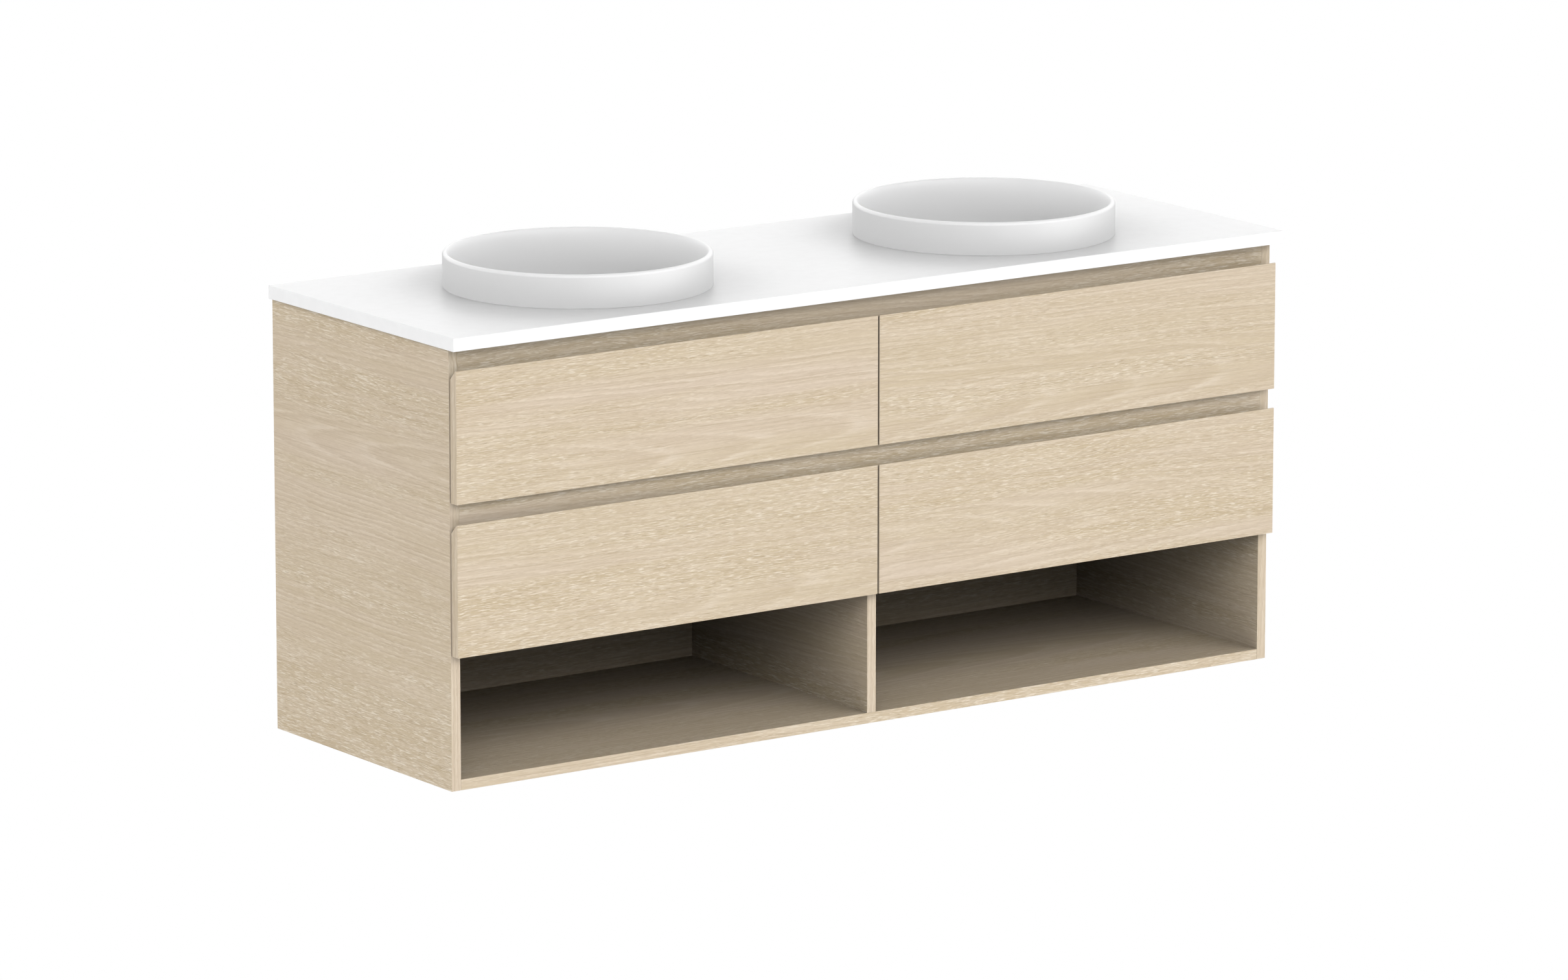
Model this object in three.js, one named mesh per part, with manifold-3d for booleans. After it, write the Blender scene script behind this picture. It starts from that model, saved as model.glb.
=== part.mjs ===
// Wall-hung double vanity: a 16 mm board carcass with two open niches below
// four handle-less drawers, a 20 mm benchtop and two round semi-inset basins.
// Millimetres. +X to the right, -Y to the front, +Z up.
// The origin is the centre of the hanging rail's back face, on the wall.

import * as THREE from 'three';
import { mergeVertices } from 'three/addons/utils/BufferGeometryUtils.js';
import Module from 'manifold-3d';

const wasm = await Module();
wasm.setup();

// ---------------------------------------------------------------- dimensions

const BOARD = 16;

// Carcass.
const CARCASS_WIDTH = 1487;
const CARCASS_DEPTH = 477;
const CARCASS_HEIGHT = 650;
const HANGING_RAIL_HEIGHT = 100;
// A finger rail reaches this far below and above its finger gap.
const FINGER_RAIL_BELOW = 22;
const FINGER_RAIL_ABOVE = 8;

// Heights of the front, counted from the underside of the carcass.
const NICHE_ZONE = 200;
const FRONT_HEIGHT = 195;
const FINGER_GAP = 30;

// Drawer fronts.
const FRONT_SETBACK = 1;
const FRONT_SIDE_INSET = 1.5;
const FRONT_CENTRE_GAP = 3;
const PULL_BEVEL = 14;

// Benchtop and basins.
const TOP_WIDTH = 1500;
const TOP_DEPTH = 500;
const TOP_THICKNESS = 20;
const BASIN_SPACING = 740;
const BASIN_FROM_WALL = 250;
const BASIN_RADIUS = 199.5;
const BASIN_RIM_HEIGHT = 50;
const BASIN_RIM_INNER_RADIUS = 188.5;
const BASIN_NECK_RADIUS = 193;
const BASIN_NECK_INNER_RADIUS = 183.5;
const BASIN_DEPTH_BELOW = 80;
const BASIN_FLOOR = 10;
const CUTOUT_RADIUS = 194.5;

// Basin wastes.
const WASTE_BORE_RADIUS = 22.5;
const WASTE_FLANGE_RADIUS = 32.5;
const WASTE_FLANGE_THICKNESS = 2.5;
const WASTE_BODY_RADIUS = 21;
const WASTE_BODY_INNER_RADIUS = 16;
const WASTE_LENGTH = 70;
const NUT_ACROSS_CORNERS = 31;
const NUT_BORE_RADIUS = 21.5;
const NUT_HEIGHT = 12;
const PLUG_RADIUS = 31.5;
const PLUG_THICKNESS = 4;
const PLUG_STEM_RADIUS = 4;
const PLUG_STEM_LENGTH = 38;

// Drawer boxes.
const STEEL = 1;
const SIDE_WIDTH = 13;
const SIDE_LENGTH = 450;
const UPPER_SIDE_HEIGHT = 106;
const LOWER_SIDE_HEIGHT = 140;
const BACK_DROP = 10;
const BASE_CLEARANCE = 0.25;
const UPPER_DRAWER_BOTTOM = 438;
const LOWER_DRAWER_BOTTOM = 220;

// Plumbing notch in the upper drawers.
const NOTCH_HALF_WIDTH = 100;
const NOTCH_FRONT_FROM_WALL = 320;
const NOTCH_CORNER_RADIUS = 40;
const NOTCH_WALL = 3;
const NOTCH_CLEARANCE = 0.5;

// Telescopic runners: a C-shaped cabinet member on the carcass, a middle
// member inside it, and two fins on the drawer side inside that.
const RUNNER_HEIGHT = 45;
const RUNNER_WALL = 1.5;
const RUNNER_DEPTH = 9.5;
const RUNNER_LENGTH = 450;
const RUNNER_FRONT_SETBACK = 5;
const MIDDLE_LENGTH = 440;
const RUNNER_BAY = 13;
const RUNNER_ABOVE_DRAWER_BOTTOM = 6;

// ------------------------------------------------------------- derived sizes

const ORIGIN_HEIGHT = CARCASS_HEIGHT - HANGING_RAIL_HEIGHT / 2;
const INNER_HALF = CARCASS_WIDTH / 2 - BOARD;
const FRONT_BACK_Y = -(CARCASS_DEPTH + FRONT_SETBACK);
const BASIN_X = BASIN_SPACING / 2;
const BAY_INNER = BOARD / 2;
const BAY_MIDDLE = (BAY_INNER + INNER_HALF) / 2;

const LOWER_FRONT_BOTTOM = NICHE_ZONE;
const LOWER_FRONT_TOP = LOWER_FRONT_BOTTOM + FRONT_HEIGHT;
const UPPER_FRONT_BOTTOM = LOWER_FRONT_TOP + FINGER_GAP;
const UPPER_FRONT_TOP = UPPER_FRONT_BOTTOM + FRONT_HEIGHT;

const TOP_RAIL = [UPPER_FRONT_TOP - FINGER_RAIL_BELOW, CARCASS_HEIGHT];
const MIDDLE_RAIL = [LOWER_FRONT_TOP - FINGER_RAIL_BELOW, UPPER_FRONT_BOTTOM + FINGER_RAIL_ABOVE];
const HANGING_RAIL = [CARCASS_HEIGHT - HANGING_RAIL_HEIGHT, CARCASS_HEIGHT];

// ---------------------------------------------------------------- materials

function surface(color, roughness, metalness = 0) {
  return new THREE.MeshStandardMaterial({ color, roughness, metalness });
}

const oak = surface(0xdbcbb2, 0.6);
const solidSurface = surface(0xf4f4f2, 0.45);
const ceramic = surface(0xededec, 0.5);
const drawerBoard = surface(0xe9e7e2, 0.6);
const drawerSteel = surface(0xd4d5d6, 0.4, 0.6);
const zincSteel = surface(0xa9adb1, 0.35, 1);
const chrome = surface(0xd9dbde, 0.1, 1);
const brass = surface(0xb99a5b, 0.3, 1);
const greyPlastic = surface(0xc9cbcc, 0.5);

// ------------------------------------------------------------------ helpers

const vanity = new THREE.Group();
vanity.position.z = -ORIGIN_HEIGHT;

function add(name, geometry, material) {
  const mesh = new THREE.Mesh(geometry, material);
  mesh.name = name;
  vanity.add(mesh);
  return mesh;
}

// A board between two corners. Heights count from the carcass underside.
function board(name, low, high, material) {
  const size = high.map((value, axis) => value - low[axis]);
  const geometry = new THREE.BoxGeometry(...size);
  geometry.translate(low[0] + size[0] / 2, low[1] + size[1] / 2, low[2] + size[2] / 2);
  return add(name, geometry, material);
}

function outline(points) {
  return new THREE.Shape(points.map(([x, y]) => new THREE.Vector2(x, y)));
}

function extrude(shape, depth, curveSegments = 8) {
  return new THREE.ExtrudeGeometry(shape, { depth, bevelEnabled: false, curveSegments });
}

// An outline in (y, z), extruded along +X from x0.
function extrudeAlongX(points, x0, length) {
  const geometry = extrude(outline(points), length);
  const yzxToXyz = new THREE.Matrix4().set(0, 0, 1, x0, 1, 0, 0, 0, 0, 1, 0, 0, 0, 0, 0, 1);
  return geometry.applyMatrix4(yzxToXyz);
}

// An outline in (x, z), extruded along Y between two depths.
function extrudeAlongY(points, frontY, backY) {
  const geometry = extrude(outline(points), backY - frontY);
  const xzyToXyz = new THREE.Matrix4().set(1, 0, 0, 0, 0, 0, -1, backY, 0, 1, 0, 0, 0, 0, 0, 1);
  return geometry.applyMatrix4(xzyToXyz);
}

// A closed profile of (radius, z) points turned about a vertical axis.
function turned(points, segments, x, y) {
  const profile = points.map(([r, z]) => new THREE.Vector2(r, z));
  const geometry = new THREE.LatheGeometry(profile, segments);
  geometry.rotateX(Math.PI / 2);
  geometry.translate(x, y, 0);
  return geometry;
}

// Points of a circular arc in a (radius, z) profile, ends included.
function arc(centre, radius, fromDegrees, toDegrees, steps) {
  const points = [];
  for (let i = 0; i <= steps; i += 1) {
    const angle = THREE.MathUtils.degToRad(fromDegrees + ((toDegrees - fromDegrees) * i) / steps);
    points.push([centre[0] + radius * Math.cos(angle), centre[1] + radius * Math.sin(angle)]);
  }
  return points;
}

function toManifold(geometry) {
  const bare = geometry.clone();
  bare.deleteAttribute('normal');
  bare.deleteAttribute('uv');
  const merged = mergeVertices(bare);
  return new wasm.Manifold(new wasm.Mesh({
    numProp: 3,
    vertProperties: new Float32Array(merged.getAttribute('position').array),
    triVerts: new Uint32Array(merged.getIndex().array),
  }));
}

function fromManifold(solid) {
  const mesh = solid.getMesh();
  const geometry = new THREE.BufferGeometry();
  geometry.setAttribute('position', new THREE.BufferAttribute(mesh.vertProperties, 3));
  geometry.setIndex(new THREE.BufferAttribute(mesh.triVerts, 1));
  geometry.computeVertexNormals();
  return geometry;
}

// ------------------------------------------------------------------ carcass

function buildCarcass() {
  const half = CARCASS_WIDTH / 2;
  const front = -CARCASS_DEPTH;
  const railBack = front + BOARD;
  board('side_panel_left', [-half, front, 0], [-INNER_HALF, 0, CARCASS_HEIGHT], oak);
  board('side_panel_right', [INNER_HALF, front, 0], [half, 0, CARCASS_HEIGHT], oak);
  board('bottom_panel', [-INNER_HALF, front, 0], [INNER_HALF, 0, BOARD], oak);
  board('niche_back_panel', [-INNER_HALF, -BOARD, BOARD], [INNER_HALF, 0, NICHE_ZONE], oak);
  board('niche_divider', [-BAY_INNER, front, BOARD], [BAY_INNER, -BOARD, NICHE_ZONE], oak);
  board('niche_deck', [-INNER_HALF, front, NICHE_ZONE], [INNER_HALF, 0, NICHE_ZONE + BOARD], oak);
  board('top_finger_rail', [-INNER_HALF, front, TOP_RAIL[0]], [INNER_HALF, railBack, TOP_RAIL[1]], oak);
  board(
    'middle_finger_rail',
    [-INNER_HALF, front, MIDDLE_RAIL[0]],
    [INNER_HALF, railBack, MIDDLE_RAIL[1]],
    oak,
  );
  board('hanging_rail', [-INNER_HALF, -BOARD, HANGING_RAIL[0]], [INNER_HALF, 0, HANGING_RAIL[1]], oak);

  // The drawer divider is notched round both finger rails and the hanging rail.
  const dividerOutline = [
    [front, NICHE_ZONE + BOARD],
    [0, NICHE_ZONE + BOARD],
    [0, HANGING_RAIL[0]],
    [-BOARD, HANGING_RAIL[0]],
    [-BOARD, CARCASS_HEIGHT],
    [railBack, CARCASS_HEIGHT],
    [railBack, TOP_RAIL[0]],
    [front, TOP_RAIL[0]],
    [front, MIDDLE_RAIL[1]],
    [railBack, MIDDLE_RAIL[1]],
    [railBack, MIDDLE_RAIL[0]],
    [front, MIDDLE_RAIL[0]],
  ];
  add('drawer_divider', extrudeAlongX(dividerOutline, -BAY_INNER, BOARD), drawerBoard);
}

// ------------------------------------------------------- benchtop and basins

function buildBenchtop() {
  const half = TOP_WIDTH / 2;
  const slab = outline([[-half, -TOP_DEPTH], [half, -TOP_DEPTH], [half, 0], [-half, 0]]);
  for (const side of [-1, 1]) {
    const hole = new THREE.Path();
    hole.absarc(side * BASIN_X, -BASIN_FROM_WALL, CUTOUT_RADIUS, 0, 2 * Math.PI, true);
    slab.holes.push(hole);
  }
  const geometry = extrude(slab, TOP_THICKNESS, 36);
  geometry.translate(0, 0, CARCASS_HEIGHT);
  add('benchtop', geometry, solidSurface);
}

// The bowl's section, from the waste bore out along the underside, up the
// outside past the seat on the benchtop, over the rounded rim, and back down
// the inside to the waste.
function basinProfile() {
  const topFace = CARCASS_HEIGHT + TOP_THICKNESS;
  const rim = topFace + BASIN_RIM_HEIGHT;
  const underside = topFace - BASIN_DEPTH_BELOW;
  const floor = underside + BASIN_FLOOR;
  const rimRound = (BASIN_RADIUS - BASIN_RIM_INNER_RADIUS) / 2;
  const rimCentre = [BASIN_RADIUS - rimRound, rim - rimRound];
  const fall = 3;
  const innerRound = 38;
  const outerRound = 48;
  return [
    [WASTE_BORE_RADIUS, floor],
    [WASTE_BORE_RADIUS, underside],
    ...arc([BASIN_NECK_RADIUS - outerRound, underside + outerRound], outerRound, -90, 0, 6),
    [BASIN_NECK_RADIUS, topFace],
    [BASIN_RADIUS, topFace],
    ...arc(rimCentre, rimRound, 0, 180, 6),
    ...arc([BASIN_NECK_INNER_RADIUS - innerRound, floor + fall + innerRound], innerRound, 0, -90, 6),
    [WASTE_FLANGE_RADIUS + 2, floor],
    [WASTE_BORE_RADIUS, floor],
  ];
}

function wasteProfile(floor) {
  const flangeTop = floor + WASTE_FLANGE_THICKNESS;
  const tail = floor - WASTE_LENGTH;
  return [
    [WASTE_BODY_INNER_RADIUS, tail],
    [WASTE_BODY_RADIUS, tail],
    [WASTE_BODY_RADIUS, floor],
    [WASTE_FLANGE_RADIUS, floor],
    [WASTE_FLANGE_RADIUS, flangeTop],
    [WASTE_BODY_INNER_RADIUS, flangeTop],
    [WASTE_BODY_INNER_RADIUS, tail],
  ];
}

function plugProfile(seat) {
  return [
    [0, seat - PLUG_STEM_LENGTH],
    [PLUG_STEM_RADIUS, seat - PLUG_STEM_LENGTH],
    [PLUG_STEM_RADIUS, seat],
    [PLUG_RADIUS, seat],
    [PLUG_RADIUS, seat + PLUG_THICKNESS * 0.5],
    [PLUG_RADIUS * 0.7, seat + PLUG_THICKNESS * 0.9],
    [0, seat + PLUG_THICKNESS],
  ];
}

function nutGeometry(x, y, underside) {
  const hexagon = [];
  for (let corner = 0; corner < 6; corner += 1) {
    const angle = (corner * Math.PI) / 3;
    hexagon.push([x + NUT_ACROSS_CORNERS * Math.cos(angle), y + NUT_ACROSS_CORNERS * Math.sin(angle)]);
  }
  const section = outline(hexagon);
  const bore = new THREE.Path();
  bore.absarc(x, y, NUT_BORE_RADIUS, 0, 2 * Math.PI, true);
  section.holes.push(bore);
  const geometry = extrude(section, NUT_HEIGHT, 16);
  geometry.translate(0, 0, underside - NUT_HEIGHT);
  return geometry;
}

function buildBasin(side, label) {
  const x = side * BASIN_X;
  const y = -BASIN_FROM_WALL;
  const underside = CARCASS_HEIGHT + TOP_THICKNESS - BASIN_DEPTH_BELOW;
  const floor = underside + BASIN_FLOOR;
  add(`basin_${label}`, turned(basinProfile(), 48, x, y), ceramic);
  add(`waste_body_${label}`, turned(wasteProfile(floor), 32, x, y), chrome);
  add(`waste_nut_${label}`, nutGeometry(x, y, underside), brass);
  add(`waste_plug_${label}`, turned(plugProfile(floor + WASTE_FLANGE_THICKNESS), 32, x, y), chrome);
}

// ------------------------------------------------------------------ drawers

// Puts an outline drawn from a carcass wall inwards against that wall: u runs
// from the wall into the bay, v up from the runner's underside.
function atWall(points, wallX, inward, height) {
  return points.map(([u, v]) => [wallX + inward * u, height + v]);
}

function cabinetRunnerSection() {
  return [
    [0, 0],
    [RUNNER_DEPTH, 0],
    [RUNNER_DEPTH, RUNNER_WALL],
    [RUNNER_WALL, RUNNER_WALL],
    [RUNNER_WALL, RUNNER_HEIGHT - RUNNER_WALL],
    [RUNNER_DEPTH, RUNNER_HEIGHT - RUNNER_WALL],
    [RUNNER_DEPTH, RUNNER_HEIGHT],
    [0, RUNNER_HEIGHT],
  ];
}

// The middle member is a C with ball tracks standing on both faces of its
// flanges: the outer tracks run in the cabinet member, the inner ones carry
// the drawer side's fins. A track leaves half a millimetre of play.
function middleRunnerSection() {
  const low = RUNNER_WALL + 2;
  const high = RUNNER_HEIGHT - low;
  const web = 4;
  const lip = 11;
  const track = 1.5;
  const outerTrack = [6, 8];
  const innerTrack = [9, 11];
  const lowerHalf = [
    [web, low],
    [outerTrack[0], low],
    [outerTrack[0], low - track],
    [outerTrack[1], low - track],
    [outerTrack[1], low],
    [lip, low],
    [lip, low + RUNNER_WALL + track],
    [innerTrack[0], low + RUNNER_WALL + track],
    [innerTrack[0], low + RUNNER_WALL],
    [web + RUNNER_WALL, low + RUNNER_WALL],
  ];
  const upperHalf = lowerHalf.map(([u, v]) => [u, low + high - v]).reverse();
  return [...lowerHalf, ...upperHalf];
}

// The drawer side is folded sheet: an outer wall with a foot under the base
// board, a closed top, and an inner wall that stops just above the base. Two
// fins on the outer wall ride in the middle runner.
function drawerSideSection(height) {
  const outer = RUNNER_BAY;
  const inner = RUNNER_BAY + SIDE_WIDTH;
  const foot = -RUNNER_ABOVE_DRAWER_BOTTOM;
  const top = foot + height;
  const baseTop = foot + STEEL + BOARD;
  const finTip = 8;
  const finLow = 7;
  const finHigh = RUNNER_HEIGHT - finLow;
  return [
    [outer, foot],
    [inner, foot],
    [inner, foot + STEEL],
    [outer + STEEL, foot + STEEL],
    [outer + STEEL, top - STEEL],
    [inner - STEEL, top - STEEL],
    [inner - STEEL, baseTop + BASE_CLEARANCE],
    [inner, baseTop + BASE_CLEARANCE],
    [inner, top],
    [outer, top],
    [outer, finHigh],
    [finTip, finHigh],
    [finTip, finHigh - RUNNER_WALL],
    [outer, finHigh - RUNNER_WALL],
    [outer, finLow + RUNNER_WALL],
    [finTip, finLow + RUNNER_WALL],
    [finTip, finLow],
    [outer, finLow],
  ];
}

// The front's top edge is bevelled at 45 degrees towards the carcass, so
// fingers can reach behind it.
function drawerFront(name, side, bottom) {
  const face = FRONT_BACK_Y - BOARD;
  const top = bottom + FRONT_HEIGHT;
  const section = [
    [face, bottom],
    [FRONT_BACK_Y, bottom],
    [FRONT_BACK_Y, top - PULL_BEVEL],
    [FRONT_BACK_Y - PULL_BEVEL, top],
    [face, top],
  ];
  const inner = FRONT_CENTRE_GAP / 2;
  const outer = CARCASS_WIDTH / 2 - FRONT_SIDE_INSET;
  const left = side > 0 ? inner : -outer;
  add(name, extrudeAlongX(section, left, outer - inner), oak);
}

// A U in plan, open towards the wall, round the plumbing under the basin.
function notchOutline(halfWidth, frontY, radius, backY) {
  const shape = new THREE.Shape();
  shape.moveTo(halfWidth, backY);
  shape.lineTo(-halfWidth, backY);
  shape.lineTo(-halfWidth, frontY + radius);
  shape.absarc(-halfWidth + radius, frontY + radius, radius, Math.PI, 1.5 * Math.PI, false);
  shape.lineTo(halfWidth - radius, frontY);
  shape.absarc(halfWidth - radius, frontY + radius, radius, 1.5 * Math.PI, 2 * Math.PI, false);
  shape.closePath();
  return shape;
}

function notchBlock(centreX, grow, backY, low, high) {
  const shape = notchOutline(
    NOTCH_HALF_WIDTH + grow,
    -NOTCH_FRONT_FROM_WALL - grow,
    NOTCH_CORNER_RADIUS + grow,
    backY,
  );
  const geometry = extrude(shape, high - low, 8);
  geometry.translate(centreX, 0, low);
  return toManifold(geometry);
}

function buildDrawer(side, label, level) {
  const upper = level === 'upper';
  const name = (piece) => `${level}_${label}_${piece}`;
  const bottom = upper ? UPPER_DRAWER_BOTTOM : LOWER_DRAWER_BOTTOM;
  const sideHeight = upper ? UPPER_SIDE_HEIGHT : LOWER_SIDE_HEIGHT;
  const centreX = side * BAY_MIDDLE;
  const runner = bottom + RUNNER_ABOVE_DRAWER_BOTTOM;
  const boxFront = FRONT_BACK_Y;
  const boxBack = boxFront + SIDE_LENGTH;
  const runnerFront = -CARCASS_DEPTH + RUNNER_FRONT_SETBACK;
  const halfInside = INNER_HALF - RUNNER_BAY - SIDE_WIDTH - BAY_MIDDLE;
  const halfBase = halfInside + SIDE_WIDTH - STEEL - BASE_CLEARANCE;
  const baseLow = bottom + STEEL;
  const baseTop = baseLow + BOARD;
  const backTop = bottom + sideHeight - BACK_DROP;

  drawerFront(name('front'), side, upper ? UPPER_FRONT_BOTTOM : LOWER_FRONT_BOTTOM);

  for (const [wall, wallX, inward] of [
    ['left', centreX - (INNER_HALF - BAY_MIDDLE), 1],
    ['right', centreX + (INNER_HALF - BAY_MIDDLE), -1],
  ]) {
    const sideOutline = atWall(drawerSideSection(sideHeight), wallX, inward, runner);
    add(name(`side_${wall}`), extrudeAlongY(sideOutline, boxFront, boxBack), drawerSteel);
    const fixed = atWall(cabinetRunnerSection(), wallX, inward, runner);
    add(name(`runner_${wall}`), extrudeAlongY(fixed, runnerFront, runnerFront + RUNNER_LENGTH), zincSteel);
    const middle = atWall(middleRunnerSection(), wallX, inward, runner);
    const middleBack = runnerFront + MIDDLE_LENGTH;
    add(name(`runner_middle_${wall}`), extrudeAlongY(middle, runnerFront, middleBack), zincSteel);
  }

  if (!upper) {
    board(
      name('base'),
      [centreX - halfBase, boxFront, baseLow],
      [centreX + halfBase, boxBack, baseTop],
      drawerBoard,
    );
    board(
      name('back'),
      [centreX - halfInside, boxBack - BOARD, baseTop],
      [centreX + halfInside, boxBack, backTop],
      drawerBoard,
    );
    return;
  }

  const base = new THREE.BoxGeometry(2 * halfBase, SIDE_LENGTH, BOARD);
  base.translate(centreX, boxFront + SIDE_LENGTH / 2, baseLow + BOARD / 2);
  const cutter = notchBlock(centreX, NOTCH_CLEARANCE, boxBack + 1, baseLow - 1, baseTop + 1);
  add(name('base'), fromManifold(toManifold(base).subtract(cutter)), drawerBoard);

  const shell = notchBlock(centreX, 0, boxBack, bottom, backTop);
  const hollow = notchBlock(centreX, -NOTCH_WALL, boxBack + 1, bottom - 1, backTop + 1);
  add(name('notch_surround'), fromManifold(shell.subtract(hollow)), greyPlastic);

  const wingInner = NOTCH_HALF_WIDTH + NOTCH_CLEARANCE;
  for (const [wing, direction] of [['left', -1], ['right', 1]]) {
    const edges = [centreX + direction * wingInner, centreX + direction * halfInside].sort((a, b) => a - b);
    board(
      name(`back_${wing}`),
      [edges[0], boxBack - BOARD, baseTop],
      [edges[1], boxBack, backTop],
      drawerBoard,
    );
  }
}

// ----------------------------------------------------------------- assembly

buildCarcass();
buildBenchtop();
for (const [label, side] of [['left', -1], ['right', 1]]) {
  buildBasin(side, label);
  buildDrawer(side, label, 'upper');
  buildDrawer(side, label, 'lower');
}

export default vanity;
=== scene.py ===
import math

import bmesh
import bpy
from mathutils import Matrix, Vector


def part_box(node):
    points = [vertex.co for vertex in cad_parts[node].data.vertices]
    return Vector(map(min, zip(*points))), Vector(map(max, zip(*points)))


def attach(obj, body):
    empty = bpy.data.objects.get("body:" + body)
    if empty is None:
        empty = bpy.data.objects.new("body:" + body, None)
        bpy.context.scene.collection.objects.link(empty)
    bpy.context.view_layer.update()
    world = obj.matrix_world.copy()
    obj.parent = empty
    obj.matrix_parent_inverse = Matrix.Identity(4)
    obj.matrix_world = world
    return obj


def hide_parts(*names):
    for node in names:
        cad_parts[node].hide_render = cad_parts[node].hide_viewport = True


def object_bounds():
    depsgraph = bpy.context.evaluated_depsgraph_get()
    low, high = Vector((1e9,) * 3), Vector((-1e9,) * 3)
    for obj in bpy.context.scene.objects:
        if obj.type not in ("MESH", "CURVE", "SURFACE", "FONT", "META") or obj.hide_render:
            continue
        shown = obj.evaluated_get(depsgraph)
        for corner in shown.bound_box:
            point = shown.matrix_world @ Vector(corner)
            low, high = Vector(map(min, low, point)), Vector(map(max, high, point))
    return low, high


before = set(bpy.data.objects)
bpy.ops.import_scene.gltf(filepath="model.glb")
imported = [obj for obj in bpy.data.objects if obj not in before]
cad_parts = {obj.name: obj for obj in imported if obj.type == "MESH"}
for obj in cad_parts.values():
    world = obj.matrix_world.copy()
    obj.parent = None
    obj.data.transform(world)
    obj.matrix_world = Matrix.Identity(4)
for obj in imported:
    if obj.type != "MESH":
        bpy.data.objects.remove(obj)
cad_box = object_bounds()

MM = 0.001
SIDES = ("left", "right")
LEVELS = ("upper", "lower")


# ------------------------------------------------------------------ node helpers

def srgb(red, green, blue):
    """A colour given in 0 to 255 display values, as linear RGBA."""
    def linear(value):
        value /= 255
        return value / 12.92 if value <= 0.04045 else ((value + 0.055) / 1.055) ** 2.4
    return (linear(red), linear(green), linear(blue), 1.0)


class Graph:
    """Short calls for adding nodes to a node tree. Values may be numbers or sockets."""

    def __init__(self, tree):
        self.tree = tree

    def feed(self, socket, value):
        if isinstance(value, bpy.types.NodeSocket):
            self.tree.links.new(value, socket)
        else:
            socket.default_value = value

    def add(self, kind, inputs=None, **settings):
        node = self.tree.nodes.new(kind)
        for key, value in settings.items():
            setattr(node, key, value)
        for key, value in (inputs or {}).items():
            self.feed(node.inputs[key], value)
        return node

    def math(self, operation, first, second=0.0, clamp=False):
        node = self.add("ShaderNodeMath", {0: first, 1: second}, operation=operation, use_clamp=clamp)
        return node.outputs[0]

    def scaled(self, vector, scale):
        node = self.add("ShaderNodeVectorMath", {0: vector, 1: scale}, operation="MULTIPLY")
        return node.outputs[0]

    def shifted(self, vector, offset):
        node = self.add("ShaderNodeVectorMath", {0: vector, 1: offset}, operation="ADD")
        return node.outputs[0]

    def noise(self, vector, scale=1.0, detail=2.0, roughness=0.5):
        inputs = {"Vector": vector, "Scale": scale, "Detail": detail, "Roughness": roughness}
        return self.add("ShaderNodeTexNoise", inputs).outputs[0]

    def smooth(self, value, low, high):
        """0 below low, 1 above high, with a soft step between."""
        inputs = {"Value": value, "From Min": low, "From Max": high}
        return self.add("ShaderNodeMapRange", inputs, interpolation_type="SMOOTHSTEP").outputs[0]

    def ranged(self, value, low, high):
        """A 0 to 1 value stretched to run from low to high."""
        inputs = {"Value": value, "To Min": low, "To Max": high}
        return self.add("ShaderNodeMapRange", inputs).outputs[0]

    def mix(self, factor, first, second, clamp=True):
        inputs = {0: factor, 6: first, 7: second}
        return self.add("ShaderNodeMix", inputs, data_type="RGBA", clamp_factor=clamp).outputs[2]

    def mix_vector(self, factor, first, second):
        inputs = {0: factor, 4: first, 5: second}
        return self.add("ShaderNodeMix", inputs, data_type="VECTOR").outputs[1]


def new_material(name):
    """A material with its graph and its shader."""
    material = bpy.data.materials.new(name)
    material.use_nodes = True
    return material, Graph(material.node_tree), material.node_tree.nodes["Principled BSDF"]


def add_bump(graph, shader, height, strength, distance):
    inputs = {"Height": height, "Strength": strength, "Distance": distance}
    bump = graph.add("ShaderNodeBump", inputs)
    graph.feed(shader.inputs["Normal"], bump.outputs[0])


# --------------------------------------------------------------------- materials

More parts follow.
